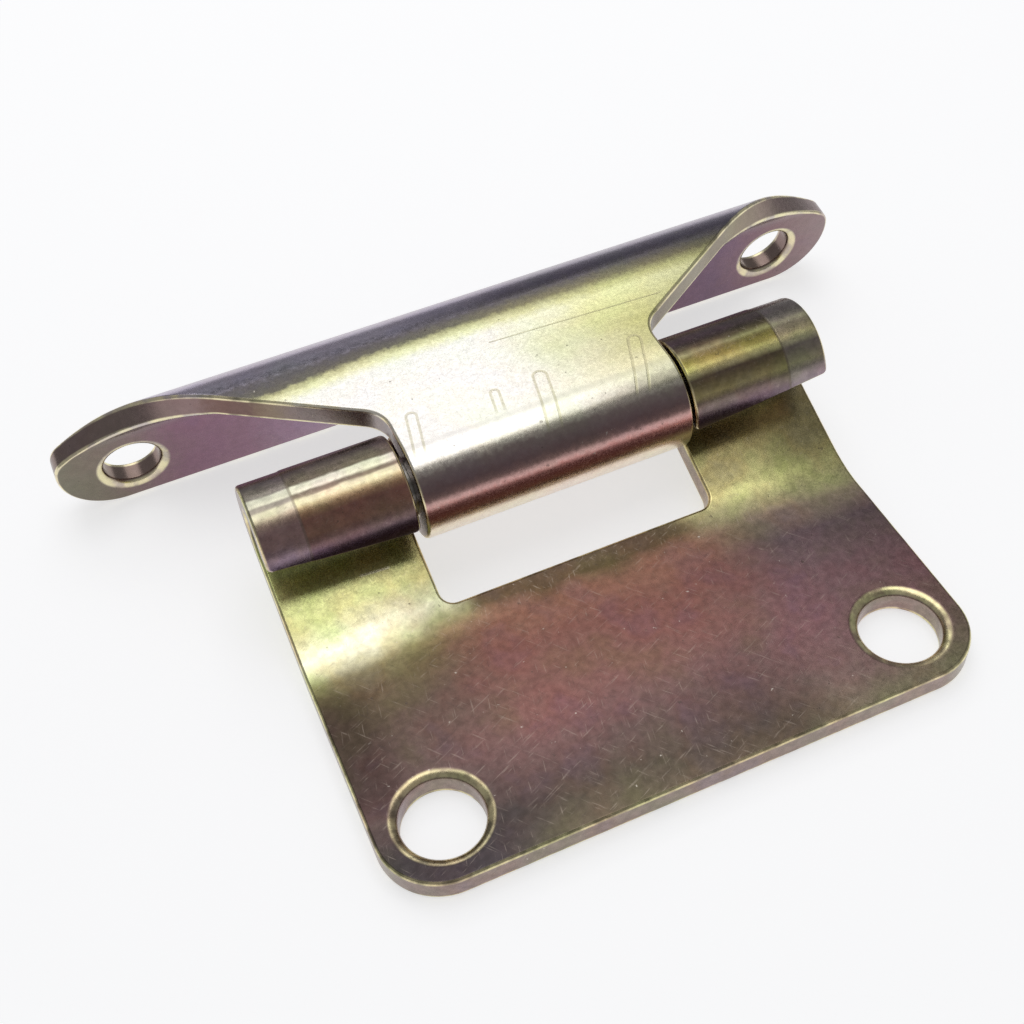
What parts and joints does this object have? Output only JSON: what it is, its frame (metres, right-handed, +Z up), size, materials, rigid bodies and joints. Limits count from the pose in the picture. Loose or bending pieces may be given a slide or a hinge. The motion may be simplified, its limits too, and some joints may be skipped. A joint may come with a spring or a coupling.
{
  "type": "bonnet hinge",
  "caption": "Bonnet hinge of yellow zinc plated sheet: a bent base leaf with a notch and bolt holes, and a winged bonnet leaf with ear holes, swinging on a pin held in rolled eyes.",
  "frame": {"origin": "midway between the two base bolt holes, on the seating face of the base leaf", "axes": "+X along the pin, +Y from the free edge of the base leaf towards the pin, +Z up out of the seating face"},
  "size_m": [0.1062, 0.07, 0.0185],
  "materials": {
    "base_zinc": "yellow chromated zinc plate, iridescent mauve and olive",
    "bonnet_zinc": "yellow chromated zinc plate, iridescent yellow and green",
    "pin_steel": "plain drawn steel"
  },
  "bodies": {
    "base": {"base_leaf": "base_zinc", "hinge_pin": "pin_steel"},
    "bonnet_side": {"bonnet_leaf": "bonnet_zinc"}
  },
  "joints": [
    {"name": "bonnet_swing", "type": "hinge", "parent": "base", "child": "bonnet_side", "pos_m": [0, 0.0351, 0.0121], "axis": [1, 0, 0], "range_deg": [-20, 100]}
  ]
}
